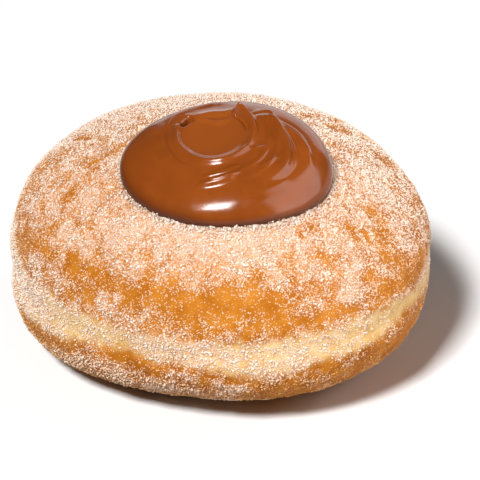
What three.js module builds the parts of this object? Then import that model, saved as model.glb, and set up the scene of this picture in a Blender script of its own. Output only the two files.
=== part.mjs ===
import * as THREE from "three";

// Sizes in mm, +Z up, the front faces -Y; pairs named shift, oval, lobes, lean, tilt, wave and swing are
// the shares of cosine and sine round the dough
const doughRadius = 44.39;
const doughHeight = 49.59;
const planShift = [0.036, 0.014];
const planOval = [0.01, -0.009];
const planLobes = [-0.026, -0.001];
const topLean = [-0.002, -0.023];
const beltHeight = 19.82;
const beltTilt = [1.79, 0.4];
const beltWave = [0.28, -0.17];
const beltGroove = 0.5;
const grooveWidth = 2.6;
const upperSquare = 2.426;
const upperSwing = [-0.308, 0.188];
const lowerSquare = 3.4;
const lowerSwing = [-0.132, 1.05];
const baseCut = 1.8;
const swellHeights = [0.3, 0.22, 0.16];
const swellTurns = [0.64, -0.62, 0.34];

const creamCentre = [1.67, -14.89];
const creamHalfWidth = 21.84;
const creamFront = 16.92;
const creamBack = 20.52;
const creamSkew = 0.01;
const creamThickness = 6.3;
const rimHeight = 1.42;
const rimTuck = 0.045;
const frontFlatness = 5.8;
const backFlatness = 5.19;
const leanRight = 0.4;
const leanBack = 0.3;
const restGap = 0.3;

const swirlCentre = [-0.05, -13.0];
const hollowDepth = 0.7;
const hollowReach = 6.2;
const tipRise = 1.25;
const tipLength = 0.055;
const wallRise = 0.6;

const doughColumns = 84;
const doughRows = 28;
const creamColumns = 92;
const creamRows = 30;
const tuckRows = 4;
const underRows = 5;

// Ridges of the swirl: angles in degrees from +X, clockwise is minus, and distances from the swirl's middle.
// The first is the lip, then come the pit at its inner end, the back ridge and the back edge of the disc
const ridges = [
  {
    turn: [62, -297], reach: [7.9, 9.0], bow: [0.05, -0.3, -0.45],
    high: 0.85, width: [1.3, 0.75], fade: [0.025, 0.06],
  },
  {
    turn: [130, 34], reach: [8.1, 8.3], bow: [0.2, 0, 0],
    high: -2.6, width: [0.85, 0.7], fade: [0.2, 0.6],
  },
  {
    turn: [63, 73], reach: [7.6, 7.9], bow: [-1.3, -0.25, -0.23],
    high: 0.6, width: [0.9, 1.2], fade: [0.1, 0.25],
  },
  {
    turn: [48, 92], reach: [5.4, 7.6], bow: [-2.7, 0, 0],
    high: 0.5, width: [0.9, 0.9], fade: [0.2, 0.3],
  },
  {
    turn: [35, -97], reach: [9.28, 15.15], bow: [2.59, -1.15, 0.31],
    high: 0.9, width: [2.2, 0.75], fade: [0.25, 0.25],
  },
  {
    turn: [45, -68], reach: [9.83, 20.22], bow: [-1.73, 0.11, 0.96],
    high: 0.7, width: [2.0, 0.75], fade: [0.25, 0.2],
  },
  {
    turn: [75, 80], reach: [11.5, 12.5], bow: [0, 0, 0],
    high: 0.3, width: [1.6, 0.9], fade: [0.2, 0.3],
  },
  {
    turn: [-108, 38], reach: [13.8, 12.7], bow: [0, 0, 0],
    high: 0.45, width: [1.1, 0.8], fade: [0.25, 0.3],
  },
];

const clamp = (value, low, high) => Math.min(high, Math.max(low, value));
const smooth = (value) => {
  const t = clamp(value, 0, 1);
  return t * t * (3 - 2 * t);
};
const wrapDegrees = (value) => ((((value + 180) % 360) + 360) % 360) - 180;

// Round bun with a slightly pinched belt where the two frying sides meet
const wave = (a, turns, [cosine, sine]) => cosine * Math.cos(turns * a) + sine * Math.sin(turns * a);
const planRadius = (a) =>
  doughRadius * (1 + wave(a, 1, planShift) + wave(a, 2, planOval) + wave(a, 3, planLobes));
const beltLevel = (a) => beltHeight + wave(a, 1, beltTilt) + wave(a, 2, beltWave);
const swell = (a, b) =>
  swellHeights[0] * Math.sin(3 * a + 2.2 * b + swellTurns[0]) +
  swellHeights[1] * Math.sin(5 * a - 3 * b + swellTurns[1]) +
  swellHeights[2] * Math.sin(7 * a + 4 * b + swellTurns[2]);
const upperPower = (a) => upperSquare + wave(a, 1, upperSwing);
const lowerPower = (a) => lowerSquare + wave(a, 1, lowerSwing);
const baseAngle = (a) => {
  const level = beltLevel(a);
  return -Math.asin(Math.pow(level / (level + baseCut), lowerPower(a) / 2));
};

function doughProfile(a, b) {
  const power = b < 0 ? lowerPower(a) : upperPower(a);
  const across = planRadius(a) * Math.pow(Math.max(Math.cos(b), 0), 2 / power);
  const upward = Math.sign(b) * Math.pow(Math.abs(Math.sin(b)), 2 / power);
  const level = beltLevel(a);
  const rise = b < 0 ? level + baseCut : doughHeight - level;
  let z = Math.max(level + rise * upward, 0);
  let r = across - beltGroove * Math.exp(-Math.pow((z - level) / grooveWidth, 2));
  const w = swell(a, b);
  const spread = Math.max(Math.cos(b), 0);
  r += w * Math.pow(spread, 0.6) * clamp(z / 6, 0, 1);
  if (b > 0) z += 0.45 * w * Math.sin(b) * Math.pow(spread, 0.5) + across * wave(a, 1, topLean) * upward;
  return [Math.max(r, 0), z];
}

// Height of the top of the dough over a point of the plan
function doughTop(x, y) {
  const a = Math.atan2(y, x);
  const reach = Math.hypot(x, y);
  let low = 0.05;
  let high = Math.PI / 2;
  for (let i = 0; i < 40; i += 1) {
    const middle = (low + high) / 2;
    if (doughProfile(a, middle)[0] > reach) low = middle;
    else high = middle;
  }
  return doughProfile(a, (low + high) / 2)[1];
}

// Even steps along the profile, a little closer together at the belt
function profileSteps(count) {
  const fine = 600;
  const lengths = [0];
  let last = doughProfile(0.8, baseAngle(0.8));
  for (let i = 1; i <= fine; i += 1) {
    const start = baseAngle(0.8);
    const next = doughProfile(0.8, start + (Math.PI / 2 - start) * (i / fine));
    const near = Math.exp(-Math.pow((next[1] - beltHeight) / 6, 2));
    lengths.push(lengths[i - 1] + Math.hypot(next[0] - last[0], next[1] - last[1]) * (1 + 1.2 * near));
    last = next;
  }
  const steps = [];
  for (let k = 0; k < count; k += 1) {
    const wanted = (lengths[fine] * k) / count;
    const i = lengths.findIndex((value) => value >= wanted);
    const before = Math.max(i - 1, 0);
    const gap = lengths[i] - lengths[before];
    steps.push((before + (gap > 0 ? (wanted - lengths[before]) / gap : 0)) / fine);
  }
  return steps;
}

// Closed body from rings of points, counter-clockwise seen from above, from the lowest point to the highest
function closedBody(bottomPoint, rings, topPoint) {
  const columns = rings[0].length;
  const points = [bottomPoint, ...rings.flat(), topPoint];
  const at = (ring, column) => 1 + ring * columns + (column % columns);
  const faces = [];
  for (let j = 0; j < columns; j += 1) {
    faces.push(0, at(0, j + 1), at(0, j));
    for (let i = 0; i < rings.length - 1; i += 1) {
      faces.push(at(i, j), at(i, j + 1), at(i + 1, j + 1));
      faces.push(at(i, j), at(i + 1, j + 1), at(i + 1, j));
    }
    faces.push(points.length - 1, at(rings.length - 1, j), at(rings.length - 1, j + 1));
  }
  const geometry = new THREE.BufferGeometry();
  geometry.setAttribute("position", new THREE.Float32BufferAttribute(points.flat(), 3));
  geometry.setIndex(faces);
  geometry.computeVertexNormals();
  return geometry;
}

function doughBody() {
  const rings = profileSteps(doughRows).map((step) => {
    const ring = [];
    for (let j = 0; j < doughColumns; j += 1) {
      const a = (2 * Math.PI * j) / doughColumns;
      const start = baseAngle(a);
      const [r, z] = doughProfile(a, start + (Math.PI / 2 - start) * step);
      ring.push([r * Math.cos(a), r * Math.sin(a), step === 0 ? 0 : z]);
    }
    return ring;
  });
  return closedBody([0, 0, 0], rings, [0, 0, doughHeight]);
}

// Height of one ridge; the first one is the lip, with a steep inner wall that rises to the curl tip
function ridgeHeight({ turn, reach, bow, high, width, fade }, r, degrees, isLip) {
  const along = 0.5 + wrapDegrees(degrees - turn[0] - turn[1] / 2) / turn[1];
  const part = clamp(along, 0, 1);
  const bows = bow.reduce((sum, rise, i) => sum + rise * Math.sin((i + 1) * Math.PI * part), 0);
  const off = r - (reach[0] + (reach[1] - reach[0]) * part + bows);
  const inner = isLip ? width[0] / 2 + (width[0] / 2) * smooth((part - 0.08) / 0.25) : width[0];
  const crest = off < 0 ? Math.exp(-Math.pow(off / inner, 2)) : Math.exp(-Math.pow(off / width[1], 1.6));
  const tip = tipRise * Math.exp(-Math.pow(part / tipLength, 1.5)) + wallRise * smooth((0.35 - part) / 0.3);
  return (high + (isLip ? tip : 0)) * crest * smooth(along / fade[0]) * smooth((1 - along) / fade[1]);
}

// Relief of the swirl over the dollop, measured from the middle of the swirl
function swirlRelief(u, v) {
  const r = Math.hypot(u, v);
  const degrees = (Math.atan2(v, u) * 180) / Math.PI;
  const raised = ridges.reduce((sum, ridge, i) => sum + ridgeHeight(ridge, r, degrees, i === 0), 0);
  return raised - hollowDepth * Math.exp(-Math.pow(r / hollowReach, 4));
}

// Place in the plan of the dollop: 0 in its middle, 1 on its rim
function creamPlace(x, y) {
  const depth = y - creamCentre[1];
  const right = (x - creamCentre[0] - creamSkew * depth) / creamHalfWidth;
  const back = depth / (depth < 0 ? creamFront : creamBack);
  return [right, back, Math.hypot(right, back)];
}

// The rim is lower at the back, where the dollop slopes down instead of bulging
function creamRim(x, y) {
  const [, back, place] = creamPlace(x, y);
  return rimHeight * (1 - 0.45 * clamp(back / Math.max(place, 1e-6), 0, 1));
}

function rimReach(angle) {
  let reach = 18;
  for (let i = 0; i < 60; i += 1) {
    const x = swirlCentre[0] + reach * Math.cos(angle);
    const y = swirlCentre[1] + reach * Math.sin(angle);
    reach *= 1 + 0.8 * (1 / creamPlace(x, y)[2] - 1);
  }
  return reach;
}

function creamPoint(angle, share) {
  const u = share * rimReach(angle) * Math.cos(angle);
  const v = share * rimReach(angle) * Math.sin(angle);
  const x = u + swirlCentre[0];
  const y = v + swirlCentre[1];
  const [right, back, place] = creamPlace(x, y);
  const slope = clamp(back / Math.max(place, 1e-6), 0, 1);
  const flatness = frontFlatness + (backFlatness - frontFlatness) * slope;
  const pillow = Math.pow(Math.max(1 - Math.pow(Math.min(place, 1), flatness), 0), 0.5 + 0.35 * slope);
  const rim = creamRim(x, y);
  const dome = rim + (creamThickness - rim) * pillow * (1 + leanRight * right + leanBack * back);
  return [x, y, doughTop(x, y) + dome + swirlRelief(u, v) * smooth((1 - place) / 0.16)];
}

// Under the rim and the underside the dollop follows the dough
function tuckedPoint(angle, turn) {
  const reach = rimReach(angle) * (1 - rimTuck * (1 - Math.cos(turn)));
  const x = swirlCentre[0] + reach * Math.cos(angle);
  const y = swirlCentre[1] + reach * Math.sin(angle);
  return [x, y, doughTop(x, y) + restGap + (creamRim(x, y) - restGap) * (1 - Math.sin(turn))];
}

function underPoint(angle, share) {
  const reach = rimReach(angle) * (1 - rimTuck) * share;
  const x = swirlCentre[0] + reach * Math.cos(angle);
  const y = swirlCentre[1] + reach * Math.sin(angle);
  return [x, y, doughTop(x, y) + restGap];
}

function creamBody() {
  const ringOf = (pointAt) =>
    Array.from({ length: creamColumns }, (_, j) => pointAt((2 * Math.PI * j) / creamColumns));
  const rings = [];
  for (let i = 1; i < underRows; i += 1) rings.push(ringOf((angle) => underPoint(angle, i / underRows)));
  for (let i = tuckRows; i > 0; i -= 1) {
    rings.push(ringOf((angle) => tuckedPoint(angle, (i / tuckRows) * (Math.PI / 2))));
  }
  for (let i = creamRows; i > 0; i -= 1) {
    const t = i / creamRows;
    const share = t < 0.8 ? t * 1.1 : 0.88 + 0.12 * Math.sin(((t - 0.8) / 0.2) * (Math.PI / 2));
    rings.push(ringOf((angle) => creamPoint(angle, share)));
  }
  return closedBody(underPoint(0, 0), rings, creamPoint(0, 0));
}

// Nodes, moved so that the origin is under the middle of the whole part
const crustMaterial = new THREE.MeshStandardMaterial({ color: 0xe2b478, roughness: 0.7, metalness: 0 });
crustMaterial.name = "sugared_crust";
const creamMaterial = new THREE.MeshStandardMaterial({ color: 0x94501e, roughness: 0.2, metalness: 0 });
creamMaterial.name = "chocolate_cream";

const dough = new THREE.Mesh(doughBody(), crustMaterial);
dough.name = "dough";
const chocolateCream = new THREE.Mesh(creamBody(), creamMaterial);
chocolateCream.name = "chocolate_cream";

dough.geometry.computeBoundingBox();
const middle = dough.geometry.boundingBox.getCenter(new THREE.Vector3());
for (const mesh of [dough, chocolateCream]) mesh.geometry.translate(-middle.x, -middle.y, 0);

const group = new THREE.Group();
group.name = "cream_doughnut";
group.add(dough, chocolateCream);

export default group;
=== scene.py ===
import math

import bpy
import numpy as np
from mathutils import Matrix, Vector


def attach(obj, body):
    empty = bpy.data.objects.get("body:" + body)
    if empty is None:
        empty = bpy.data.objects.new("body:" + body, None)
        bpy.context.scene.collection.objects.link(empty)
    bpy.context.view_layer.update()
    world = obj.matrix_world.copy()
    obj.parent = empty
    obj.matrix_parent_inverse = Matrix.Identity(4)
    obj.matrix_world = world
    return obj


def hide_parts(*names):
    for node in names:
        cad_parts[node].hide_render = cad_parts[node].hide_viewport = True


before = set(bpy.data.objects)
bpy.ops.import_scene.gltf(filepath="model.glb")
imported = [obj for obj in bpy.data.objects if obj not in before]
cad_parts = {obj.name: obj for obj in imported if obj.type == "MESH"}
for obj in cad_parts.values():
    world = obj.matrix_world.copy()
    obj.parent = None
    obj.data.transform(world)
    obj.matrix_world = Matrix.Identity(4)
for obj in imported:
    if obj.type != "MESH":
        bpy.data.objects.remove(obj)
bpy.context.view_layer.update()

mm = 0.001
print("frame loaded with", len(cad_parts), "nodes")


# helpers for numbers
def smooth(t):
    t = np.clip(t, 0, 1)
    return t * t * (3 - 2 * t)


def wrapDegrees(d):
    return np.mod(d + 180, 360) - 180


def hump(value, middle, half):
    return smooth(1 - np.abs(value - middle) / half)


def latticeNoise(points, cell, seed):
    size, keepPositive = 32, 100.0
    table = np.random.default_rng(seed).uniform(-1, 1, (size, size, size))
    q = points / cell + keepPositive
    base = np.floor(q).astype(int)
    f = q - base
    f = f * f * (3 - 2 * f)
    total = np.zeros(points.shape[:-1])
    for corner in np.ndindex(2, 2, 2):
        weight = np.ones_like(total)
        for axis, side in enumerate(corner):
            weight = weight * (f[..., axis] if side else 1 - f[..., axis])
        i, j, k = (np.mod(base[..., axis] + corner[axis], size) for axis in range(3))
        total += weight * table[i, j, k]
    return total


def noiseLayers(points, layers):
    # a layer is its amount, the size of its cells in mm and its seed
    return sum(amount * latticeNoise(points, cell, seed) for amount, cell, seed in layers)


def linearColour(red, green, blue):
    # screen colour, 0 to 255, to scene linear
    def channel(value):
        v = value / 255
        return v / 12.92 if v <= 0.04045 else ((v + 0.055) / 1.055) ** 2.4
    return (channel(red), channel(green), channel(blue), 1.0)


# form of the dough, in mm about its own axis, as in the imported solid; pairs are shares of cosine and sine
doughForm = {
    "radius": 44.39,
    "height": 49.59,
    "shift": (0.036, 0.014),
    "oval": (0.01, -0.009),
    "lobes": (-0.026, -0.001),
    "lean": (-0.002, -0.023),
    "beltHeight": 19.82,
    "beltTilt": (1.79, 0.4),
    "beltWave": (0.28, -0.17),
    "beltGroove": 0.5,
    "grooveWidth": 2.6,
    "upperSquare": 2.426,
    "upperSwing": (-0.308, 0.188),
    "lowerSquare": 3.4,
    "lowerSwing": (-0.132, 1.05),
    "baseCut": 1.8,
    "swells": (0.3, 0.22, 0.16),
    "swellTurns": (0.64, -0.62, 0.34),
    "swellWaves": ((3, 2.2), (5, -3), (7, 4)),
    "swellSpread": 0.6,
    "swellClear": 6,
    "swellRise": 0.45,
    "riseSpread": 0.5,
    "columns": 540,
    "rows": 150,
    "rowAngle": 0.8,
    "topHole": 0.02,
    "baseRows": 12,
    "baseHole": 0.02,
}


def wave(a, turns, pair):
    return pair[0] * np.cos(turns * a) + pair[1] * np.sin(turns * a)


def planRadius(a):
    uneven = wave(a, 1, doughForm["shift"]) + wave(a, 2, doughForm["oval"]) + wave(a, 3, doughForm["lobes"])
    return doughForm["radius"] * (1 + uneven)


def beltLevel(a):
    return doughForm["beltHeight"] + wave(a, 1, doughForm["beltTilt"]) + wave(a, 2, doughForm["beltWave"])


def swell(a, b):
    rows = zip(doughForm["swells"], doughForm["swellWaves"], doughForm["swellTurns"])
    return sum(high * np.sin(around * a + upward * b + turn) for high, (around, upward), turn in rows)


def upperPower(a):
    return doughForm["upperSquare"] + wave(a, 1, doughForm["upperSwing"])


def lowerPower(a):
    return doughForm["lowerSquare"] + wave(a, 1, doughForm["lowerSwing"])


def baseAngle(a):
    level = beltLevel(a)
    return -np.arcsin((level / (level + doughForm["baseCut"])) ** (lowerPower(a) / 2))


def doughProfile(a, b):
    power = np.where(b < 0, lowerPower(a), upperPower(a))
    spread = np.maximum(np.cos(b), 0)
    level = beltLevel(a)
    rise = np.where(b < 0, level + doughForm["baseCut"], doughForm["height"] - level)
    upward = np.sign(b) * np.abs(np.sin(b)) ** (2 / power)
    z = np.maximum(level + rise * upward, 0)
    groove = doughForm["beltGroove"] * np.exp(-((z - level) / doughForm["grooveWidth"]) ** 2)
    w = swell(a, b)
    across = planRadius(a) * spread ** (2 / power)
    r = across - groove + w * spread ** doughForm["swellSpread"] * np.clip(z / doughForm["swellClear"], 0, 1)
    lean = across * wave(a, 1, doughForm["lean"]) * np.maximum(upward, 0)
    lift = doughForm["swellRise"] * w * np.sin(b) * spread ** doughForm["riseSpread"]
    z = z + np.where(b > 0, lift + lean, 0)
    return np.maximum(r, 0), z


def doughTop(x, y):
    # height of the upper side over a point of the plan, by halving
    a = np.arctan2(y, x)
    reach = np.hypot(x, y)
    lowest, halvings = 0.05, 40
    low, high = np.full_like(reach, lowest), np.full_like(reach, math.pi / 2)
    for _ in range(halvings):
        middle = (low + high) / 2
        outside = doughProfile(a, middle)[0] > reach
        low = np.where(outside, middle, low)
        high = np.where(outside, high, middle)
    return doughProfile(a, (low + high) / 2)[1]


# form of the dollop, in mm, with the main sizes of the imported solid
creamForm = {
    "centre": (1.67, -14.89),
    "halfWidth": 21.84,
    "front": 16.92,
    "back": 20.52,
    "skew": 0.01,
    "thickness": 6.3,
    "rimHeight": 1.42,
    "rimTuck": 0.045,
    "frontFlatness": 5.8,
    "backFlatness": 5.19,
    "pillowPower": 0.5,
    "backPowerGain": 0.35,
    "backThinning": 0.45,
    "leanRight": 0.4,
    "leanBack": 0.3,
    "swirl": (-0.05, -13.0),
    "hollowDepth": 0.7,
    "hollowReach": 6.2,
    "swirlFade": 0.16,
    "tipRise": 1.25,
    "tipLength": 0.055,
    "tipPlace": (3.9, 6.9),
    "tipLean": (-0.5, -0.3),
    "curlReach": 0.9,
    "slimUntil": (0.08, 0.25),  # shares of the lip's length
    "wallRise": 0.6,
    "wallUntil": (0.35, 0.3),  # the same
    "columns": 420,
    "rows": 200,
    "edgeFrom": 0.88,
    "edgeRows": 35,
    "tuckRows": 8,
    "underRows": 7,
    "topHole": 0.002,
    "underHole": 0.02,
    "sink": 0.05,
}

# ridges of the swirl: degrees from +X with clockwise minus, and mm from its middle
# the lip comes first, then the pit, the disc's back edge, two arms, and finer streaks and troughs
swirlRidges = [
    {"turn": (62, -297), "reach": (7.9, 9.0), "bow": (0.05, -0.3, -0.45),
     "high": 0.85, "width": (1.3, 0.6), "fade": (0.025, 0.06)},
    {"turn": (130, 34), "reach": (8.1, 8.3), "bow": (0.2, 0, 0),
     "high": -3.6, "width": (0.85, 0.65), "fade": (0.2, 0.6)},
    {"turn": (48, 92), "reach": (5.4, 7.6), "bow": (-2.7, 0, 0),
     "high": 0.5, "width": (0.9, 0.8), "fade": (0.2, 0.3)},
    {"turn": (35, -97), "reach": (9.28, 15.15), "bow": (2.59, -1.15, 0.31),
     "high": 1.0, "width": (2.2, 0.5), "fade": (0.25, 0.25)},
    {"turn": (45, -68), "reach": (9.83, 20.22), "bow": (-1.73, 0.11, 0.96),
     "high": 0.8, "width": (2.0, 0.5), "fade": (0.25, 0.2)},
    {"turn": (75, 80), "reach": (11.5, 12.5), "bow": (0, 0, 0),
     "high": 0.3, "width": (1.6, 0.9), "fade": (0.2, 0.3)},
    {"turn": (-110, 40), "reach": (14.1, 13.0), "bow": (0, 0, 0),
     "high": 0.6, "width": (0.8, 0.42), "fade": (0.25, 0.3)},
    {"turn": (-102, 40), "reach": (13.3, 12.3), "bow": (0, 0, 0),
     "high": 0.5, "width": (0.6, 0.34), "fade": (0.2, 0.3)},
    {"turn": (-108, 38), "reach": (12.5, 11.6), "bow": (-0.1, 0, 0),
     "high": 0.42, "width": (0.5, 0.28), "fade": (0.25, 0.3)},
    {"turn": (-98, 34), "reach": (11.7, 11.0), "bow": (-0.1, 0, 0),
     "high": 0.42, "width": (0.5, 0.28), "fade": (0.25, 0.3)},
    {"turn": (-53, 24), "reach": (13.5, 14.7), "bow": (-0.1, 0, 0),
     "high": 0.3, "width": (0.6, 0.4), "fade": (0.25, 0.3)},
    {"turn": (-60, 38), "reach": (8.6, 12.0), "bow": (-1.1, 0, 0),
     "high": 0.2, "width": (0.6, 0.4), "fade": (0.25, 0.3)},
    {"turn": (-67, 30), "reach": (16.7, 18.5), "bow": (0.1, 0, 0),
     "high": 0.2, "width": (1.0, 0.6), "fade": (0.3, 0.3)},
    {"turn": (-110, -95), "reach": (10.0, 10.4), "bow": (0, 0, 0),
     "high": -0.3, "width": (0.45, 0.8), "fade": (0.3, 0.2)},
    {"turn": (63, 73), "reach": (7.6, 7.9), "bow": (-1.3, -0.25, -0.23),
     "high": 0.6, "width": (0.9, 1.2), "fade": (0.1, 0.25)},
    {"turn": (38, -120), "reach": (8.9, 11.4), "bow": (1.2, -0.5, 0.1),
     "high": 0.35, "width": (0.8, 0.3), "fade": (0.25, 0.3)},
    {"turn": (36, -112), "reach": (9.1, 13.2), "bow": (1.9, -0.8, 0.2),
     "high": 0.35, "width": (0.8, 0.3), "fade": (0.25, 0.3)},
    {"turn": (42, -85), "reach": (9.6, 17.6), "bow": (0.6, -0.4, 0.6),
     "high": 0.3, "width": (0.9, 0.35), "fade": (0.25, 0.3)},
    {"turn": (48, -60), "reach": (10.2, 19.0), "bow": (-1.6, 0.3, 0.6),
     "high": 0.25, "width": (0.9, 0.35), "fade": (0.25, 0.3)},
    {"turn": (62, -76), "reach": (6.9, 6.2), "bow": (-0.3, 0, 0),
     "high": -0.7, "width": (0.6, 0.4), "fade": (0.1, 0.5)},
    {"turn": (150, 75), "reach": (7.8, 7.8), "bow": (0, 0, 0),
     "high": -0.45, "width": (0.8, 0.5), "fade": (0.2, 0.5)},
    {"turn": (-115, -110), "reach": (10.4, 11.6), "bow": (0, 0, 0),
     "high": 0.14, "width": (0.8, 0.4), "fade": (0.3, 0.3)},
]


def ridgeHeight(ridge, r, degrees, isLip):
    start, sweep = ridge["turn"]
    near, far = ridge["reach"]
    inner, outer = ridge["width"]
    along = 0.5 + wrapDegrees(degrees - start - sweep / 2) / sweep
    part = np.clip(along, 0, 1)
    bows = sum(bow * np.sin((i + 1) * np.pi * part) for i, bow in enumerate(ridge["bow"]))
    off = r - (near + (far - near) * part + bows)
    high = ridge["high"]
    if isLip:
        slimFrom, slimLength = creamForm["slimUntil"]
        wallEnd, wallLength = creamForm["wallUntil"]
        inner = inner / 2 + inner / 2 * smooth((part - slimFrom) / slimLength)
        high = high + creamForm["tipRise"] * np.exp(-(part / creamForm["tipLength"]) ** 1.5)
        high = high + creamForm["wallRise"] * smooth((wallEnd - part) / wallLength)
    crest = np.where(off < 0, np.exp(-(off / inner) ** 2), np.exp(-np.abs(off / outer) ** 1.6))
    return high * crest * smooth(along / ridge["fade"][0]) * smooth((1 - along) / ridge["fade"][1])


def swirlRelief(u, v):
    r = np.hypot(u, v)
    degrees = np.degrees(np.arctan2(v, u))
    height = sum(ridgeHeight(ridge, r, degrees, i == 0) for i, ridge in enumerate(swirlRidges))
    return height - creamForm["hollowDepth"] * np.exp(-(r / creamForm["hollowReach"]) ** 4)


def creamPlace(x, y):
    # 0 in the middle of the dollop's plan, 1 on its rim
    depth = y - creamForm["centre"][1]
    right = (x - creamForm["centre"][0] - creamForm["skew"] * depth) / creamForm["halfWidth"]
    back = depth / np.where(depth < 0, creamForm["front"], creamForm["back"])
    return right, back, np.hypot(right, back)


def backSlope(back, place):
    return np.clip(back / np.maximum(place, 1e-6), 0, 1)


def rimReach(angle):
    # distance from the swirl's middle to the rim, found step by step
    firstGuess, rounds, pace = 18.0, 60, 0.8
    reach = np.full_like(angle, firstGuess)
    swirlX, swirlY = creamForm["swirl"]
    for _ in range(rounds):
        place = creamPlace(swirlX + reach * np.cos(angle), swirlY + reach * np.sin(angle))[2]
        reach = reach * (1 + pace * (1 / place - 1))
    return reach


def creamSurface(angle, share, reach):
    u, v = share * reach * np.cos(angle), share * reach * np.sin(angle)
    x, y = u + creamForm["swirl"][0], v + creamForm["swirl"][1]
    right, back, place = creamPlace(x, y)
    slope = backSlope(back, place)
    flatness = creamForm["frontFlatness"] + (creamForm["backFlatness"] - creamForm["frontFlatness"]) * slope
    power = creamForm["pillowPower"] + creamForm["backPowerGain"] * slope
    pillow = np.maximum(1 - np.minimum(place, 1) ** flatness, 0) ** power
    rim = creamForm["rimHeight"] * (1 - creamForm["backThinning"] * slope)
    lean = 1 + creamForm["leanRight"] * right + creamForm["leanBack"] * back
    dome = rim + (creamForm["thickness"] - rim) * pillow * lean
    z = doughTop(x, y) + dome + swirlRelief(u, v) * smooth((1 - place) / creamForm["swirlFade"])
    tipAway = np.hypot(u - creamForm["tipPlace"][0], v - creamForm["tipPlace"][1])
    curl = np.exp(-(tipAway / creamForm["curlReach"]) ** 2)
    return np.stack([x + creamForm["tipLean"][0] * curl, y + creamForm["tipLean"][1] * curl, z], -1), rim


# how uneven and how soft the edges of the pale belt are
beltEdge = {
    "noise": [(0.6, 3.5, 3), (0.9, 1.4, 4)],
    "lowerFade": 2.8,
    "upperFade": 2.2,
}

# where the belt runs: degrees round the dough, its lower and upper edge in mm from its line,
# and the share of sugar on it
beltPlaces = [
    (-175, -7.0, 9.5, 0.8), (-167, -6.2, 6.5, 0.75), (-160, -5.2, 5.4, 0.68), (-147, -4.4, 5.2, 0.62),
    (-137, -3.0, 4.4, 0.5), (-128, -1.3, 4.1, 0.45), (-118, -0.5, 3.7, 0.35), (-108, -1.9, 3.8, 0.75),
    (-99, -1.8, 3.2, 0.8), (-90, -2.7, 2.8, 0.75), (-80, -4.5, 3.1, 0.65), (-70, -4.2, 2.7, 0.65),
    (-60, -3.3, 3.4, 0.5), (-50, -3.6, 3.1, 0.3), (-42, -2.6, 3.1, 0.12), (-33, -1.4, 2.0, 0.06),
    (-24, -2.6, 0.8, 0.06), (-12, -4.0, -1.2, 0.1), (20, -3.0, 2.5, 0.5), (90, -3.0, 3.0, 0.6),
    (150, -4.5, 4.0, 0.65),
]

# where the crust is bare or heaped: degrees round the dough, mm above the belt's line, half length and
# half height in mm, tilt in degrees and strength
barePatches = [
    (170, 26.9, 3.2, 1.1, 20, 0.8), (176, 20.5, 1.2, 4.5, 0, 0.75), (-161, 28.6, 2.2, 2.0, 0, 0.5),
    (-153, 23.6, 2.4, 1.6, 0, 0.7), (-149, 22.4, 1.8, 0.8, 0, 0.5), (-163, 25.6, 1.4, 1.0, 0, 0.4),
    (-138.5, 14.4, 2.2, 2.0, 0, 0.95), (-136, 12.0, 2.0, 1.6, 0, 0.9), (-130, 9.3, 2.0, 1.2, 0, 0.8),
    (-123, 12.0, 3.0, 1.2, -10, 0.6), (-114, 10.8, 3.0, 2.0, 0, 0.7), (-94, 10.9, 7.0, 2.2, -6, 0.75),
    (-84, 10.0, 5.0, 3.0, 0, 0.8), (-78, 8.7, 6.0, 3.2, 0, 0.7), (-62, 5.9, 2.8, 1.4, 0, 0.9),
    (-62, 20.1, 1.0, 0.8, 0, 0.7), (-44, 17.2, 0.9, 1.6, 10, 0.8), (-40, 16.4, 0.8, 1.3, 0, 0.8),
    (-47, 10.6, 1.6, 1.0, 0, 0.9), (-57, 10.7, 1.2, 1.0, 0, 0.6), (38, 24.2, 3.2, 1.2, -20, 0.9),
    (25, 23.0, 3.0, 1.3, 0, 0.95), (28, 18.5, 3.0, 1.5, -20, 0.85), (43, 19.7, 2.0, 1.0, 0, 0.5),
    (14, 19.5, 1.4, 0.8, 0, 0.8), (12, 16.5, 2.6, 1.4, -30, 0.7), (1, 22.2, 2.2, 0.8, -20, 0.6),
    (-12, 18.3, 0.9, 1.2, 0, 0.7), (-39, 20.0, 1.2, 1.2, 0, 0.6), (-4, 8.9, 1.8, 2.5, 0, 0.6),
    (-23, 5.0, 3.6, 2.4, 0, 0.95), (-33, 5.6, 3.8, 2.2, 0, 0.95), (-41, 6.0, 3.0, 1.6, 0, 0.95),
    (178, 21.0, 8.0, 7.0, 0, 0.55), (-155, 25.0, 5.0, 3.5, 0, 0.3), (-151, 14.5, 6.0, 2.2, 0, 0.35),
    (25, 23.0, 5.0, 2.4, 0, 0.6), (10, 18.3, 5.0, 2.4, 0, 0.6), (38, 21.0, 11.0, 5.0, 0, 0.36),
    (-35, -8.0, 14.0, 5.5, 0, 0.7), (-70, -11.8, 14.0, 2.2, 0, 0.4),
    (-120, -13.0, 24.0, 2.0, 0, 0.6), (-116, -4.2, 3.4, 1.8, 0, 0.5),
    (-133, -3.9, 3.4, 1.3, -10, 0.85), (-118.5, -3.0, 3.6, 1.5, 0, 0.9), (-153, -7.2, 1.6, 2.4, -30, 0.8),
    (-107.5, -5.8, 3.2, 1.0, -8, 0.8), (-84, -6.0, 3.0, 0.9, 0, 0.7), (-77, -9.0, 4.5, 2.2, 0, 0.7),
    (-63, -4.6, 2.6, 1.2, 0, 0.85), (-46.7, -6.1, 2.8, 1.5, 20, 0.9), (-32, -5.0, 3.2, 1.3, 30, 0.8),
]
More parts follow.
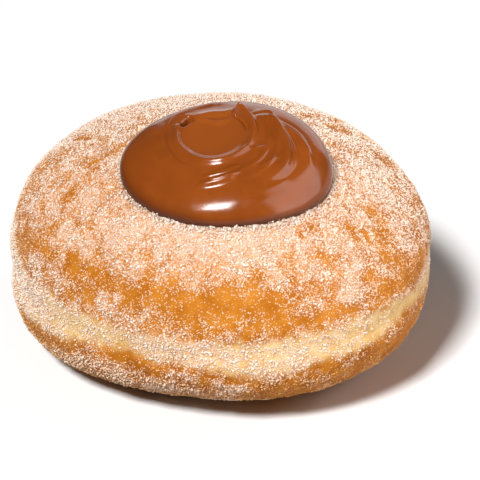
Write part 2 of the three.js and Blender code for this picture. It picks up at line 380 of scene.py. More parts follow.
sugarHeaps = [
    (-120, 10.0, 1.3, 0.8, 20, 0.9), (-53, 9.2, 2.6, 2.0, 0, 0.6), (-49, 12.9, 2.4, 0.9, 35, 0.5),
    (-62, 8.6, 1.0, 0.8, 0, 0.7), (-61.3, 4.9, 0.6, 0.6, 0, 0.9), (-92, 21.3, 9.0, 2.0, 0, 0.3),
    (-99, -4.8, 2.6, 1.0, -25, 0.6), (-90, -5.6, 1.4, 0.8, 0, 0.6), (-84, -8.3, 2.0, 0.8, -5, 0.6),
    (-54, -6.2, 1.8, 1.4, 20, 0.6), (-40, -4.8, 1.5, 1.2, 0, 0.3), (-147, 8.0, 9.0, 3.4, 0, 0.38),
    (-118, 7.8, 9.0, 3.2, 0, 0.2), (-86, 6.6, 11.0, 2.6, 0, 0.12), (-15, 10.5, 9.0, 4.0, 0, 0.3),
    (95, 29.0, 22.0, 4.0, 0, 0.25), (-75, -6.8, 8.0, 2.2, 0, 0.24), (-125, -7.2, 18.0, 2.2, 0, 0.2),
    (-100, -3.8, 5.0, 1.8, 0, 0.3),
]
backPatches = {
    "count": 34,
    "seed": 11,
    "degrees": (20, 165),
    "levels": ((4, 11), (14, 26), (-7, -4)),
    "halfLong": (1.2, 4.5),
    "halfHigh": (0.8, 2.2),
    "tilt": (-25, 25),
    "strength": 0.8,
}
patchShape = {"meanRadius": 0.92, "edgePower": 1.5}


def patchMask(patches, a, height):
    degrees = np.degrees(a)
    total = np.zeros_like(a)
    for centre, level, halfLong, halfHigh, tilt, strength in patches:
        along = np.radians(wrapDegrees(degrees - centre)) * doughForm["radius"] * patchShape["meanRadius"]
        up = height - level
        c, s = math.cos(math.radians(tilt)), math.sin(math.radians(tilt))
        q = ((along * c + up * s) / halfLong) ** 2 + ((up * c - along * s) / halfHigh) ** 2
        total = np.maximum(total, strength * np.exp(-q ** patchShape["edgePower"]))
    return total


def hiddenSidePatches():
    # the side away from the camera gets patches of the same sizes
    draw = np.random.default_rng(backPatches["seed"])
    made = []
    for _ in range(backPatches["count"]):
        centre = draw.uniform(*backPatches["degrees"])
        level = draw.choice([draw.uniform(*levels) for levels in backPatches["levels"]])
        shape = [draw.uniform(*backPatches[name]) for name in ("halfLong", "halfHigh", "tilt")]
        made.append((centre, level, *shape, backPatches["strength"]))
    return made


allBare = barePatches + hiddenSidePatches()


def beltEdges(a):
    degrees, *columns = np.array(beltPlaces).T
    return [np.interp(np.degrees(a), degrees, column, period=360) for column in columns]


def beltShare(points, a):
    # 1 on the pale belt, 0 on the crust
    low, high, _ = beltEdges(a)
    height = points[..., 2] - beltLevel(a) + noiseLayers(points, beltEdge["noise"])
    inside = smooth((height - low) / beltEdge["lowerFade"] + 0.5)
    return inside * smooth((high - height) / beltEdge["upperFade"] + 0.5)


# shares of the crust that sugar covers; places are degrees or mm, each with its half width or fade
sugarCover = {
    "under": 0.22,
    "underBand": 0.26,
    "bandFrom": (-160, 6),
    "bandTo": (-80, 5),
    "bandBelow": (1.5, 3.0),
    "floorClear": (0.6, 2.4),
    "above": 0.26,
    "ring": 0.16,
    "ringPlace": (0.8, 1.3),
    "top": 0.44,
    "topFront": 0.19,
    "topPlace": (10.0, 11.0),
    "front": (-92, 50),
    "rightFront": 0.3,
    "rightDegrees": (-52, 32),
    "rightHeight": (12, 6),
    "edgeFade": 2.0,
    "noise": [(0.12, 6.5, 5), (0.28, 2.4, 6), (0.22, 1.1, 7)],
    "patchLevel": 0.9,
    "patchNoise": [(0.9, 1.2, 8)],
    "patchRange": (0.2, 1.1),
    "least": 0.02,
}


def coverAbove(degrees, height, high):
    cover = sugarCover
    ringHeight, ringWidth = cover["ringPlace"]
    topFrom, topFade = cover["topPlace"]
    front = hump(degrees, *cover["front"])
    share = cover["above"] + cover["ring"] * np.exp(-((height - high - ringHeight) / ringWidth) ** 2)
    share = share + (cover["top"] + cover["topFront"] * front) * smooth((height - topFrom - front) / topFade)
    rightFront = hump(degrees, *cover["rightDegrees"]) * hump(height, *cover["rightHeight"])
    return share + cover["rightFront"] * rightFront


def coverUnder(degrees, height, low, z):
    # the left front of the underside carries a band of sugar
    cover = sugarCover
    start, startFade = cover["bandFrom"]
    end, endFade = cover["bandTo"]
    depth, depthFade = cover["bandBelow"]
    clear, clearFade = cover["floorClear"]
    band = smooth((end - degrees) / endFade) * smooth((degrees - start) / startFade)
    band = band * smooth((low - height - depth) / depthFade)
    return (cover["under"] + cover["underBand"] * band) * smooth((z - clear) / clearFade)


def sugarShare(points, a):
    height = points[..., 2] - beltLevel(a)
    degrees = wrapDegrees(np.degrees(a))
    low, high, onBelt = beltEdges(a)
    fade = sugarCover["edgeFade"]
    share = coverUnder(degrees, height, low, points[..., 2])
    share = share + (onBelt - share) * smooth((height - low) / fade + 0.5)
    share = share + (coverAbove(degrees, height, high) - share) * smooth((height - high) / fade + 0.5)
    share = share + noiseLayers(points, sugarCover["noise"])
    grainy = sugarCover["patchLevel"] + noiseLayers(points, sugarCover["patchNoise"])
    grainy = np.clip(grainy, *sugarCover["patchRange"])
    bare = np.clip(patchMask(allBare, a, height) * grainy, 0, 1)
    share = share * (1 - bare) + patchMask(sugarHeaps, a, height) * grainy
    return np.clip(share, sugarCover["least"], 1)


# creases in the crust, as lines between two places: degrees and mm above the belt's line
creases = [
    {"from": (175.0, 17.0), "to": (176.5, 24.5), "width": 0.5, "depth": 0.45},
    {"from": (-142.8, 13.0), "to": (-132, 13.2), "width": 0.35, "depth": 0.3},
    {"from": (-57.2, 4.2), "to": (-57.2, 8.2), "width": 0.4, "depth": 0.3},
    {"from": (168.3, 26.1), "to": (177.8, 28.0), "width": 0.5, "depth": 0.3},
    {"from": (60, 16.0), "to": (74, 18.5), "width": 0.45, "depth": 0.35},
    {"from": (110, 9.0), "to": (122, 8.0), "width": 0.4, "depth": 0.3},
]
creaseShape = {"meanRadius": 0.9, "taper": 0.2}


def creaseDepth(a, height):
    total = np.zeros_like(a)
    scale = math.radians(1) * doughForm["radius"] * creaseShape["meanRadius"]
    degrees = np.degrees(a)
    for crease in creases:
        fromDegrees, fromHeight = crease["from"]
        length = wrapDegrees(crease["to"][0] - fromDegrees) * scale
        rise = crease["to"][1] - fromHeight
        along, up = wrapDegrees(degrees - fromDegrees) * scale, height - fromHeight
        t = np.clip((along * length + up * rise) / (length ** 2 + rise ** 2), 0, 1)
        away = np.hypot(along - t * length, up - t * rise)
        ends = smooth(t / creaseShape["taper"]) * smooth((1 - t) / creaseShape["taper"])
        total = np.maximum(total, crease["depth"] * ends * np.exp(-(away / crease["width"]) ** 2))
    return total


# building meshes from arrays
def inFrame(points, middle):
    return points.reshape(-1, 3) - [middle[0], middle[1], 0]


def newPiece(name, vertices, faces, material):
    mesh = bpy.data.meshes.new(name)
    corners = faces.shape[1]
    mesh.vertices.add(len(vertices))
    mesh.vertices.foreach_set("co", (vertices * mm).astype(np.float32).ravel())
    mesh.loops.add(faces.size)
    mesh.loops.foreach_set("vertex_index", faces.astype(np.int32).ravel())
    mesh.polygons.add(len(faces))
    mesh.polygons.foreach_set("loop_start", np.arange(0, faces.size, corners, dtype=np.int32))
    mesh.update(calc_edges=True)
    mesh.validate()
    mesh.materials.append(material)
    piece = bpy.data.objects.new(name, mesh)
    bpy.context.scene.collection.objects.link(piece)
    return piece


def setMask(piece, name, values):
    attribute = piece.data.attributes.new(name, "FLOAT", "POINT")
    attribute.data.foreach_set("value", values.astype(np.float32).ravel())


def setBakeMap(piece, corners):
    layer = piece.data.uv_layers.new(name="OFBake", do_init=False)
    layer.uv.foreach_set("vector", corners.astype(np.float32).ravel())


def ringFaces(rows, columns):
    i, j = np.meshgrid(np.arange(rows - 1), np.arange(columns), indexing="ij")
    k = (j + 1) % columns
    quads = np.stack([i * columns + j, i * columns + k, (i + 1) * columns + k, (i + 1) * columns + j], -1)
    return quads.reshape(-1, 4)


def ringMap(rows, columns):
    i, j = np.meshgrid(np.arange(rows - 1), np.arange(columns), indexing="ij")
    u = np.stack([j, j + 1, j + 1, j], -1) / columns
    v = np.stack([i, i, i + 1, i + 1], -1) / (rows - 1)
    margin = 0.005
    return (np.stack([u, v], -1) * (1 - 2 * margin) + margin).reshape(-1, 2)


def ringNormals(points):
    across = np.roll(points, -1, 1) - np.roll(points, 1, 1)
    upward = np.gradient(points, axis=0)
    normals = np.cross(across, upward)
    return normals / np.maximum(np.linalg.norm(normals, axis=-1, keepdims=True), 1e-9)


def faceMean(values, faces):
    return values.reshape(-1)[faces].mean(1)


def onFaces(corners, s, t):
    # places on four-cornered faces, at shares s and t of their two ways
    near = corners[:, 0] * (1 - s) + corners[:, 1] * s
    far = corners[:, 3] * (1 - s) + corners[:, 2] * s
    return near * (1 - t) + far * t


# shader node helpers
mmPerMetre = 1000.0


def addNode(tree, kind, **values):
    node = tree.nodes.new(kind)
    for name, value in values.items():
        setattr(node, name, value)
    return node


def setInput(tree, node, name, value):
    socket = node.inputs[name]
    if isinstance(value, bpy.types.NodeSocket):
        tree.links.new(value, socket)
    else:
        socket.default_value = value


def maskOf(tree, name):
    return addNode(tree, "ShaderNodeAttribute", attribute_name=name).outputs["Fac"]


def mathOf(tree, operation, *values):
    node = addNode(tree, "ShaderNodeMath", operation=operation)
    for i, value in enumerate(values):
        setInput(tree, node, i, value)
    return node.outputs[0]


def rangeOf(tree, value, fromLow, fromHigh, toLow=0.0, toHigh=1.0):
    node = addNode(tree, "ShaderNodeMapRange", interpolation_type="SMOOTHSTEP")
    for name, v in zip(("Value", "From Min", "From Max", "To Min", "To Max"),
                       (value, fromLow, fromHigh, toLow, toHigh)):
        setInput(tree, node, name, v)
    return node.outputs[0]


def mixOf(tree, share, first, second):
    # the colour sockets share their names with others, so they are found by place
    firstColour, secondColour, colourResult = 6, 7, 2
    node = addNode(tree, "ShaderNodeMix", data_type="RGBA")
    setInput(tree, node, "Factor", share)
    setInput(tree, node, firstColour, first)
    setInput(tree, node, secondColour, second)
    return node.outputs[colourResult]


def newGroup(name, inputs, outputs):
    tree = bpy.data.node_groups.new(name, "ShaderNodeTree")
    for socketName, socketType, value in inputs:
        socket = tree.interface.new_socket(socketName, in_out="INPUT", socket_type=socketType)
        socket.default_value = value
    for socketName, socketType in outputs:
        tree.interface.new_socket(socketName, in_out="OUTPUT", socket_type=socketType)
    return tree, addNode(tree, "NodeGroupInput"), addNode(tree, "NodeGroupOutput")


def placeGroup(tree, group, **values):
    node = addNode(tree, "ShaderNodeGroup", node_tree=group)
    for name, value in values.items():
        setInput(tree, node, name, value)
    return node


def newMaterial(name, **shaderValues):
    material = bpy.data.materials.new(name)
    material.use_nodes = True
    tree = material.node_tree
    shader = tree.nodes["Principled BSDF"]
    for socketName, value in shaderValues.items():
        shader.inputs[socketName].default_value = value
    return material, tree, shader


def mottleGroup():
    # soft two-tone variation, with the scale given as the size of a spot in mm
    tree, given, out = newGroup(
        "mottle",
        [("Spot", "NodeSocketFloat", 2.0), ("Detail", "NodeSocketFloat", 3.0),
         ("Dark", "NodeSocketColor", (0.5, 0.5, 0.5, 1)), ("Light", "NodeSocketColor", (1, 1, 1, 1))],
        [("Colour", "NodeSocketColor"), ("Value", "NodeSocketFloat")])
    place = addNode(tree, "ShaderNodeTexCoord").outputs["Object"]
    noise = addNode(tree, "ShaderNodeTexNoise", noise_dimensions="3D")
    setInput(tree, noise, "Vector", place)
    setInput(tree, noise, "Scale", mathOf(tree, "DIVIDE", mmPerMetre, given.outputs["Spot"]))
    setInput(tree, noise, "Detail", given.outputs["Detail"])
    darkest, lightest = 0.3, 0.7
    value = rangeOf(tree, noise.outputs["Fac"], darkest, lightest)
    tree.links.new(value, out.inputs["Value"])
    colour = mixOf(tree, value, given.outputs["Dark"], given.outputs["Light"])
    tree.links.new(colour, out.inputs["Colour"])
    return tree


def grainGroup():
    # cells of the size of a sugar grain, of which a given share is sugar
    tree, given, out = newGroup(
        "sugarGrain",
        [("Grain", "NodeSocketFloat", 0.5), ("Share", "NodeSocketFloat", 0.5)],
        [("Mask", "NodeSocketFloat"), ("Height", "NodeSocketFloat")])
    place = addNode(tree, "ShaderNodeTexCoord").outputs["Object"]
    cells = addNode(tree, "ShaderNodeTexVoronoi", voronoi_dimensions="3D", feature="F1")
    setInput(tree, cells, "Vector", place)
    setInput(tree, cells, "Scale", mathOf(tree, "DIVIDE", mmPerMetre, given.outputs["Grain"]))
    random = addNode(tree, "ShaderNodeSeparateColor")
    setInput(tree, random, "Color", cells.outputs["Color"])
    softness = 0.05
    domeFoot, domeTop = 0.75, 0.15
    maskEdge, maskFull = 0.72, 0.5
    surplus = mathOf(tree, "SUBTRACT", given.outputs["Share"], random.outputs[0])
    filled = rangeOf(tree, surplus, -softness, softness)
    dome = rangeOf(tree, cells.outputs["Distance"], domeFoot, domeTop)
    tree.links.new(mathOf(tree, "MULTIPLY", filled, dome), out.inputs["Height"])
    flat = rangeOf(tree, cells.outputs["Distance"], maskEdge, maskFull)
    tree.links.new(mathOf(tree, "MULTIPLY", filled, flat), out.inputs["Mask"])
    return tree


mottle = mottleGroup()
sugarGrain = grainGroup()
print("node groups made")

crustLook = {
    "goldDark": linearColour(159, 90, 14),
    "goldLight": linearColour(184, 115, 35),
    "lowDark": linearColour(150, 80, 8),
    "lowLight": linearColour(184, 112, 26),
    "beltDark": linearColour(200, 156, 88),
    "beltLight": linearColour(220, 190, 138),
    "filmDark": linearColour(212, 158, 116),
    "filmLight": linearColour(236, 202, 174),
    "filmFrom": 0.3,
    "filmStrength": 0.56,
    "grainSize": 0.34,
    "grainShare": 0.8,
    "grainStrength": 0.75,
    "poreHeight": 0.3,
    "bumpStrength": 0.6,
    "bumpHeight": 0.25,
    "roughness": 0.42,
    "sugarRoughness": 0.75,
    "ior": 1.45,
    "specular": 0.12,
}


def crustMaterial():
    look = crustLook
    finish = {"IOR": look["ior"], "Specular IOR Level": look["specular"]}
    material, tree, shader = newMaterial("sugaredCrust", **finish)
    belt, sugar, low = maskOf(tree, "belt"), maskOf(tree, "sugar"), maskOf(tree, "low")
    gold = placeGroup(tree, mottle, Spot=3.5, Detail=4.0, Dark=look["goldDark"], Light=look["goldLight"])
    brown = placeGroup(tree, mottle, Spot=3.0, Detail=4.0, Dark=look["lowDark"], Light=look["lowLight"])
    pale = placeGroup(tree, mottle, Spot=4.0, Detail=5.0, Dark=look["beltDark"], Light=look["beltLight"])
    film = placeGroup(tree, mottle, Spot=1.2, Detail=4.0, Dark=look["filmDark"], Light=look["filmLight"])
    crust = mixOf(tree, low, gold.outputs["Colour"], brown.outputs["Colour"])
    crust = mixOf(tree, belt, crust, pale.outputs["Colour"])
    share = mathOf(tree, "MULTIPLY", sugar, look["grainShare"])
    grains = placeGroup(tree, sugarGrain, Grain=look["grainSize"], Share=share)
    dusted = mathOf(tree, "MULTIPLY", rangeOf(tree, sugar, look["filmFrom"], 1.0), look["filmStrength"])
    colour = mixOf(tree, dusted, crust, film.outputs["Colour"])
    speckled = mathOf(tree, "MULTIPLY", grains.outputs["Mask"], look["grainStrength"])
    colour = mixOf(tree, speckled, colour, film.outputs["Colour"])
    setInput(tree, shader, "Base Color", colour)
    covered = mathOf(tree, "MAXIMUM", grains.outputs["Mask"], dusted)
    roughness = rangeOf(tree, covered, 0.0, 1.0, look["roughness"], look["sugarRoughness"])
    setInput(tree, shader, "Roughness", roughness)
    pores = placeGroup(tree, mottle, Spot=0.8, Detail=3.0)
    poreRelief = mathOf(tree, "MULTIPLY", pores.outputs["Value"], look["poreHeight"])
    bump = addNode(tree, "ShaderNodeBump")
    setInput(tree, bump, "Strength", look["bumpStrength"])
    setInput(tree, bump, "Distance", look["bumpHeight"] * mm)
    setInput(tree, bump, "Height", mathOf(tree, "ADD", grains.outputs["Height"], poreRelief))
    setInput(tree, shader, "Normal", bump.outputs["Normal"])
    return material


creamLook = {
    "dark": linearColour(119, 56, 12),
    "light": linearColour(129, 62, 16),
    # painted light: the lighter brown of the swirl's middle
    "paintedLight": linearColour(136, 67, 19),
    # painted shade: the dark brown laid on the dollop's lower edge
    "edge": linearColour(70, 27, 2),
    "roughness": 0.13,
    "roughnessSpread": 0.06,
    "edgeRoughness": 0.42,
    "ior": 1.47,
    "specular": 0.62,
    "paintedLightReach": (9.5, 4.0),  # mm from the swirl's middle, and the fade
    "shadedEdgeReach": 2.95,
    "shadedEdgeLeft": (0.45, 0.8),  # mm more on the left, and the share of the half width that it fades over
    "shadedEdgeFade": 2.2,
    "shadedEdgeFrom": (0.86, 0.08),  # share of the way to the rim, and the fade
}


def creamMaterial():
    look = creamLook
    finish = {"IOR": look["ior"], "Specular IOR Level": look["specular"]}
    material, tree, shader = newMaterial("chocolateCream", **finish)
    blend = placeGroup(tree, mottle, Spot=6.0, Detail=2.0, Dark=look["dark"], Light=look["light"])
    edge = maskOf(tree, "edge")
    # painted light: the swirl's middle is mixed towards a lighter brown
    colour = mixOf(tree, maskOf(tree, "swirl"), blend.outputs["Colour"], look["paintedLight"])
    # painted shade: the lower edge is mixed towards the dark edge colour
    setInput(tree, shader, "Base Color", mixOf(tree, edge, colour, look["edge"]))
    fine = placeGroup(tree, mottle, Spot=2.5, Detail=2.0)
    roughest = look["roughness"] + look["roughnessSpread"]
    glossy = rangeOf(tree, fine.outputs["Value"], 0.0, 1.0, look["roughness"], roughest)
    setInput(tree, shader, "Roughness", rangeOf(tree, edge, 0.0, 1.0, glossy, look["edgeRoughness"]))
    return material


sugarLook = {
    "white": linearColour(241, 226, 214),
    "amber": linearColour(220, 156, 74),
    "roughness": 0.3,
    "roughnessSpread": 0.2,
    "ior": 1.54,
    "specular": 0.35,
}


def sugarMaterial():
    look = sugarLook
    finish = {"IOR": look["ior"], "Specular IOR Level": look["specular"]}
    material, tree, shader = newMaterial("granulatedSugar", **finish)
    tint = maskOf(tree, "tint")
    setInput(tree, shader, "Base Color", mixOf(tree, tint, look["white"], look["amber"]))
    cloudy = placeGroup(tree, mottle, Spot=0.3, Detail=1.0)
    roughest = look["roughness"] + look["roughnessSpread"]
    roughness = rangeOf(tree, cloudy.outputs["Value"], 0.0, 1.0, look["roughness"], roughest)
    setInput(tree, shader, "Roughness", roughness)
    return material


# relief of the crust in mm, and where its browner underside starts
crustRelief = {
    "noise": [(0.14, 3.4, 21), (0.07, 1.3, 22)],
    "sugarHigh": 0.12,
    "sugarNoise": [(1, 0.9, 23)],
    "floorClear": 2.5,
    "baseSugar": 0.05,
    "lowPlace": (-1.0, 3.0),
}


# dough: rings from the base edge to the top, with a closed flat base
def doughRows():
    # even steps along the profile
    a, samples = doughForm["rowAngle"], 2000
    start = baseAngle(a)
    fine = np.linspace(0, 1, samples)
    r, z = doughProfile(np.full_like(fine, a), start + (math.pi / 2 - start) * fine)
    length = np.r_[0, np.cumsum(np.hypot(np.diff(r), np.diff(z)))]
    return np.interp(np.linspace(0, length[-1], doughForm["rows"]), length, fine)


def doughPoints():
    a = np.linspace(0, 2 * np.pi, doughForm["columns"], endpoint=False)
    angle, step = np.meshgrid(a, doughRows())
    start = baseAngle(angle)
    r, z = doughProfile(angle, start + (math.pi / 2 - start) * step)
    r = np.maximum(r, doughForm["topHole"])
    return np.stack([r * np.cos(angle), r * np.sin(angle), z], -1), angle


def makeDough():
    points, angle = doughPoints()
    middle = (points.reshape(-1, 3).min(0) + points.reshape(-1, 3).max(0)) / 2
    height = points[..., 2] - beltLevel(angle)
    sugar, belt = sugarShare(points, angle), beltShare(points, angle)
    heaped = crustRelief["sugarHigh"] * sugar * (1 + noiseLayers(points, crustRelief["sugarNoise"]))
    relief = noiseLayers(points, crustRelief["noise"]) + heaped - creaseDepth(angle, height)
    relief = relief * smooth(points[..., 2] / crustRelief["floorClear"])
    normals = ringNormals(points)
    surface = points + normals * relief[..., None]
    baseShares = np.linspace(doughForm["baseHole"], 1, doughForm["baseRows"], endpoint=False)
    base = points[0][None] * np.array([1, 1, 0]) * baseShares[:, None, None]
    rings = np.concatenate([base, surface])
    rows, columns = rings.shape[:2]
    piece = newPiece("dough_crust", inFrame(rings, middle), ringFaces(rows, columns), crustMaterial())
    setBakeMap(piece, ringMap(rows, columns))
    baseZero = np.zeros(base.shape[:2])
    setMask(piece, "sugar", np.concatenate([baseZero + crustRelief["baseSugar"], sugar]))
    setMask(piece, "belt", np.concatenate([baseZero, belt]))
    lowFrom, lowFade = crustRelief["lowPlace"]
    low = smooth((lowFrom - height) / lowFade)
    setMask(piece, "low", np.concatenate([baseZero + 1, low]))
    piece.data.shade_smooth()
    return piece, surface, ringNormals(surface), sugar, belt, middle


# cream: rings from the middle of its underside out to the rim, then up to the swirl's middle
def creamRing(angle, distance, over):
    x = creamForm["swirl"][0] + distance * np.cos(angle)
    y = creamForm["swirl"][1] + distance * np.sin(angle)
    return np.stack([x, y, doughTop(x, y) + over - creamForm["sink"]], -1)[None]


def creamPoints():
    angle = np.linspace(0, 2 * np.pi, creamForm["columns"], endpoint=False)
    edgeFrom, edgeRows = creamForm["edgeFrom"], creamForm["edgeRows"]
    inner = np.linspace(creamForm["topHole"], edgeFrom, creamForm["rows"] - edgeRows)
    edge = np.sin(np.linspace(0, np.pi / 2, edgeRows + 1)[1:])
    turn, part = np.meshgrid(angle, np.r_[inner, edgeFrom + (1 - edgeFrom) * edge])
    reach = rimReach(angle)
    top, rim = creamSurface(turn, part, reach[None])
    rings = [top]
    for tuck in np.linspace(0, np.pi / 2, creamForm["tuckRows"] + 1)[1:]:
        distance = reach * (1 - creamForm["rimTuck"] * (1 - math.cos(tuck)))
        rings.append(creamRing(angle, distance, rim[-1] * (1 - math.sin(tuck))))
    for inward in np.linspace(1, creamForm["underHole"], creamForm["underRows"] + 1)[1:]:
        rings.append(creamRing(angle, reach * (1 - creamForm["rimTuck"]) * inward, 0))
    return np.concatenate(rings)[::-1]


def paintedLightMask(points):
    # painted light: the middle of the swirl, where the flat disc faces up, is a lighter brown
    reach, fade = creamLook["paintedLightReach"]
    swirlX, swirlY = creamForm["swirl"]
    return smooth((reach - np.hypot(points[..., 0] - swirlX, points[..., 1] - swirlY)) / fade)


def shadedEdgeMask(points):
    # painted shade: the low edge of the dollop is made darker in colour, and also rougher so it keeps no
    # sharp sheen
    x, y, z = np.moveaxis(points, -1, 0)
    right, _, place = creamPlace(x, y)
    extra, leftFade = creamLook["shadedEdgeLeft"]
    start, startFade = creamLook["shadedEdgeFrom"]
    reach = creamLook["shadedEdgeReach"] + extra * smooth(-right / leftFade)
    low = smooth((reach - z + doughTop(x, y)) / creamLook["shadedEdgeFade"])
    return low * smooth((place - start) / startFade)


def makeCream(middle):
    points = creamPoints()
    rows, columns = points.shape[:2]
    piece = newPiece("cream_dollop", inFrame(points, middle), ringFaces(rows, columns), creamMaterial())
    setBakeMap(piece, ringMap(rows, columns))
    # the swirl mask carries the painted light of the middle
    setMask(piece, "swirl", paintedLightMask(points))
    # painted shade on the lower edge, which is also made rougher
    setMask(piece, "edge", shadedEdgeMask(points))
    piece.data.shade_smooth()
    return piece


# kinds of sugar grain: counts, sizes in mm and corners about the middle
boxCorners = np.array([(x, y, z) for z in (-0.5, 0.5) for y in (-0.5, 0.5) for x in (-0.5, 0.5)])
boxFaces = np.array([(0, 2, 3, 1), (4, 5, 7, 6), (0, 1, 5, 4), (2, 6, 7, 3), (0, 4, 6, 2), (1, 3, 7, 5)])
chipCorners = np.array([(0.5, 0, 0), (0, 0.5, 0), (-0.5, 0, 0), (0, -0.5, 0), (0, 0, 0.5), (0, 0, -0.5)])
chipFaces = np.array([(0, 1, 4), (1, 2, 4), (2, 3, 4), (3, 0, 4), (1, 0, 5), (2, 1, 5), (3, 2, 5), (0, 3, 5)])
grainCorners = np.array([(0.5, 0.5, 0.5), (-0.5, -0.5, 0.5), (-0.5, 0.5, -0.5), (0.5, -0.5, -0.5)])
grainFaces = np.array([(0, 2, 1), (0, 1, 3), (0, 3, 2), (1, 2, 3)])
sugarKinds = [
    {"name": "sugar_crystals", "count": 12000, "size": (0.22, 0.38), "corners": boxCorners, "faces": boxFaces,
     "power": 1.4, "sink": 0.25, "seed": 101},
    {"name": "sugar_chips", "count": 22000, "size": (0.24, 0.42), "corners": chipCorners, "faces": chipFaces,
     "power": 1.2, "sink": 0.16, "seed": 102},
    {"name": "sugar_fines", "count": 46000, "size": (0.15, 0.27), "corners": grainCorners,
     "faces": grainFaces, "power": 0.7, "sink": 0.1, "seed": 103},
]

# where grains lie, how high they are stacked in mm, how much of the crust's amber they take on, and the
# painted shade on grains below the belt
sugarRules = {
    "creamLevel": 30,
    "creamPlace": 0.965,
    "rimWidth": 0.03,
    "rimExtra": 1.5,
    "floorClear": 1.0,
    "stretch": (0.75, 1.15),
    "stack": 0.35,
    "stackPower": 3,
    "rimStack": 0.8,
    "rimStackPower": 2,
    "cornerSpread": 0.05,
    "amber": 0.4,
    "amberPower": 1.5,
    "thinAmber": 0.7,
    "thinCover": 0.65,
    "beltAmber": 0.2,
    # painted shade on grains below the belt
    "paintedShadeBelow": 0.3,
    "lowPlace": (3.0, 4.0),
}


def turnsOf(draw, count):
    # evenly spread random turns, from unit quaternions
    q = draw.normal(size=(count, 4))
    w, x, y, z = (q / np.linalg.norm(q, axis=1, keepdims=True)).T
    rows = [[1 - 2 * (y * y + z * z), 2 * (x * y - z * w), 2 * (x * z + y * w)],
            [2 * (x * y + z * w), 1 - 2 * (x * x + z * z), 2 * (y * z - x * w)],
            [2 * (x * z - y * w), 2 * (y * z + x * w), 1 - 2 * (x * x + y * y)]]
    return np.array(rows).transpose(2, 0, 1)


def grainTint(draw, centre, cover, onCrust):
    # thin cover lets the crust through the grains, and those below the belt are darker and more amber, as
    # painted shade
    rules = sugarRules
    lowFrom, lowFade = rules["lowPlace"]
    below = beltLevel(np.arctan2(centre[:, 1], centre[:, 0])) - centre[:, 2]
    thin = 1 - smooth(cover / rules["thinCover"])
    tint = draw.random(len(centre)) ** rules["amberPower"] * rules["amber"]
    tint = tint + rules["thinAmber"] * thin * (rules["beltAmber"] + (1 - rules["beltAmber"]) * onCrust)
    # painted shade: grains below the belt are mixed further towards amber
    return np.clip(tint + rules["paintedShadeBelow"] * smooth((below - lowFrom) / lowFade), 0, 1)


def grainMap(kind):
    # each grain has its own cell of the map
    count = kind["count"]
    side = math.ceil(math.sqrt(count))
    cell = np.stack([np.arange(count) % side, np.arange(count) // side], -1)
    unit = np.array([(0.1, 0.1), (0.9, 0.1), (0.9, 0.9), (0.1, 0.9)])[:kind["faces"].shape[1]]
    loops = np.tile(unit, (len(kind["faces"]), 1))
    return ((cell[:, None] + loops[None]) / side).reshape(-1, 2)


def makeSugar(kind, surface, normals, sugar, belt, middle, material):
    rules, count = sugarRules, kind["count"]
    draw = np.random.default_rng(kind["seed"])
    faces = ringFaces(*surface.shape[:2])
    p = surface.reshape(-1, 3)[faces]
    area = np.linalg.norm(np.cross(p[:, 2] - p[:, 0], p[:, 3] - p[:, 1]), axis=1) / 2
    centre = p.mean(1)
    cover, onCrust = faceMean(sugar, faces), 1 - faceMean(belt, faces)
    share = cover ** kind["power"]
    place = creamPlace(centre[:, 0], centre[:, 1])[2]
    atCream = centre[:, 2] > rules["creamLevel"]
    underCream = (place < rules["creamPlace"]) & atCream
    nearRim = np.exp(-((place - 1.0) / rules["rimWidth"]) ** 2) * atCream
    free = ~underCream & (centre[:, 2] >= rules["floorClear"])
    weight = area * share * (1 + rules["rimExtra"] * nearRim) * free
    chosen = draw.choice(len(faces), count, p=weight / weight.sum())
    s, t = draw.random((2, count, 1))
    spot, normal = onFaces(p[chosen], s, t), onFaces(normals.reshape(-1, 3)[faces[chosen]], s, t)
    size = draw.uniform(*kind["size"], (count, 1)) * draw.uniform(*rules["stretch"], (count, 3))
    heap = draw.random((count, 1)) ** rules["stackPower"] * rules["stack"]
    rimHeap = draw.random((count, 1)) ** rules["rimStackPower"] * rules["rimStack"]
    stack = heap * share[chosen][:, None] + rimHeap * nearRim[chosen][:, None]
    spot = spot + normal * (size.min(1, keepdims=True) * kind["sink"] + stack)
    uneven = draw.normal(0, rules["cornerSpread"], (count, *kind["corners"].shape))
    shape = (kind["corners"][None] + uneven) * size[:, None]
    corners = np.einsum("nij,nkj->nki", turnsOf(draw, count), shape) + spot[:, None]
    perGrain = len(kind["corners"])
    allFaces = kind["faces"][None] + (np.arange(count) * perGrain)[:, None, None]
    allFaces = allFaces.reshape(-1, kind["faces"].shape[1])
    piece = newPiece(kind["name"], inFrame(corners, middle), allFaces, material)
    tint = grainTint(draw, centre[chosen], cover[chosen], onCrust[chosen])
    setMask(piece, "tint", np.repeat(tint, perGrain))
    setBakeMap(piece, grainMap(kind))
    return piece


dough, doughSurface, doughNormals, doughSugar, doughBelt, axisMiddle = makeDough()
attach(dough, "root")
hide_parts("dough")
print("dough made,", len(dough.data.polygons), "faces")

cream = makeCream(axisMiddle)
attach(cream, "root")
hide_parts("chocolate_cream")
print("cream made,", len(cream.data.polygons), "faces")

allPieces = [dough, cream]
sugarFinish = sugarMaterial()
for kind in sugarKinds:
    grains = makeSugar(kind, doughSurface, doughNormals, doughSugar, doughBelt, axisMiddle, sugarFinish)
    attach(grains, "root")
    allPieces.append(grains)
    print(kind["name"], "made,", len(grains.data.polygons), "faces")


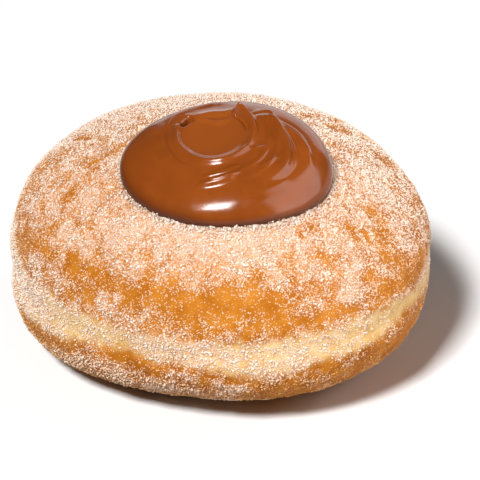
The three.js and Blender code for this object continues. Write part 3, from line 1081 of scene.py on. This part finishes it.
# studio: pale floor, three lamps that light, and a glint and two cards that only show in reflections
studio = {
    "elevation": math.radians(26.6),
    "distance": 540 * mm,
    "targetHeight": 26.3 * mm,
    "pixelsPerMetre": 4680,
    "imageSize": 480,
    "targetPixel": (218.5, 228.9),
    "sensorWidth": 36,
    "floorHalf": 3000.0,
    "floorColour": (0.86, 0.86, 0.86, 1),
    "floorBounce": (0.46, 0.46, 0.46, 1),
    "worldStrength": 0.05,
    "lamps": [
        {"name": "keyLamp", "azimuth": -31, "elevation": 48.5, "distance": 8.0, "size": (1.5, 1.5),
         "power": 960.0, "mirrored": False, "lights": True, "onFloor": True},
        {"name": "sideLamp", "azimuth": 105, "elevation": 25, "distance": 1.5, "size": (0.6, 0.6),
         "power": 6.4, "mirrored": False, "lights": True, "onFloor": True, "colour": (1.0, 0.9, 0.86)},
        {"name": "fillLamp", "azimuth": 52, "elevation": 4, "distance": 0.9, "size": (0.6, 0.3),
         "power": 7.0, "mirrored": False, "lights": True, "onFloor": False},
        {"name": "glint", "azimuth": -14, "elevation": 49, "distance": 2.5, "size": (0.62, 0.46),
         "power": 31.0, "mirrored": True, "lights": False, "onFloor": False},
        {"name": "rightCard", "azimuth": 70, "elevation": 25, "distance": 0.62, "size": (0.72, 0.58),
         "power": 2.6, "mirrored": True, "lights": False, "onFloor": False},
        {"name": "backCard", "azimuth": 165, "elevation": 14, "distance": 1.5, "size": (1.7, 0.9),
         "power": 5.4, "mirrored": True, "lights": False, "onFloor": False},
    ],
}


def makeFloor():
    material, tree, shader = newMaterial("paleFloor", Roughness=0.8)
    # the floor looks pale but throws little light back up
    seen = addNode(tree, "ShaderNodeLightPath").outputs["Is Camera Ray"]
    setInput(tree, shader, "Base Color", mixOf(tree, seen, studio["floorBounce"], studio["floorColour"]))
    half = studio["floorHalf"]
    square = np.array([(-half, -half, 0), (half, -half, 0), (half, half, 0), (-half, half, 0)])
    floor = newPiece("floor", square, np.array([(0, 1, 2, 3)]), material)


def makeLamps(pieces):
    world = bpy.data.worlds.new("studioWorld")
    bpy.context.scene.world = world
    world.use_nodes = True
    background = world.node_tree.nodes["Background"]
    background.inputs["Color"].default_value = (1, 1, 1, 1)
    background.inputs["Strength"].default_value = studio["worldStrength"]
    target = Vector((0, 0, studio["targetHeight"]))
    partOnly = bpy.data.collections.new("partOnly")
    for piece in pieces:
        partOnly.objects.link(piece)
    for lamp in studio["lamps"]:
        data = bpy.data.lights.new(lamp["name"], "AREA")
        data.shape = "RECTANGLE"
        data.size, data.size_y = lamp["size"]
        data.energy = lamp["power"]
        data.color = lamp.get("colour", (1, 1, 1))
        holder = bpy.data.objects.new(lamp["name"], data)
        holder.visible_glossy = lamp["mirrored"]
        holder.visible_diffuse = lamp["lights"]
        if not lamp["onFloor"]:
            holder.light_linking.receiver_collection = partOnly
        turn, rise = math.radians(lamp["azimuth"]), math.radians(lamp["elevation"])
        away = Vector((math.sin(turn) * math.cos(rise), -math.cos(turn) * math.cos(rise), math.sin(rise)))
        holder.location = target + away * lamp["distance"]
        holder.rotation_euler = (-away).to_track_quat("-Z", "Y").to_euler()
        bpy.context.scene.collection.objects.link(holder)


def makeCamera(middle):
    data = bpy.data.cameras.new("camera")
    camera = bpy.data.objects.new("camera", data)
    bpy.context.scene.collection.objects.link(camera)
    e, distance, size = studio["elevation"], studio["distance"], studio["imageSize"]
    x, y = -middle[0] * mm, -middle[1] * mm - distance * math.cos(e)
    camera.location = (x, y, studio["targetHeight"] + distance * math.sin(e))
    camera.rotation_euler = (math.pi / 2 - e, 0, 0)
    data.sensor_width = studio["sensorWidth"]
    data.lens = studio["pixelsPerMetre"] * distance * data.sensor_width / size
    data.shift_x = (size / 2 - studio["targetPixel"][0]) / size
    data.shift_y = -(size / 2 - studio["targetPixel"][1]) / size
    bpy.context.scene.camera = camera


makeFloor()
makeLamps(allPieces)
makeCamera(axisMiddle)
bpy.context.scene.view_settings.view_transform = "Standard"
print("studio made")
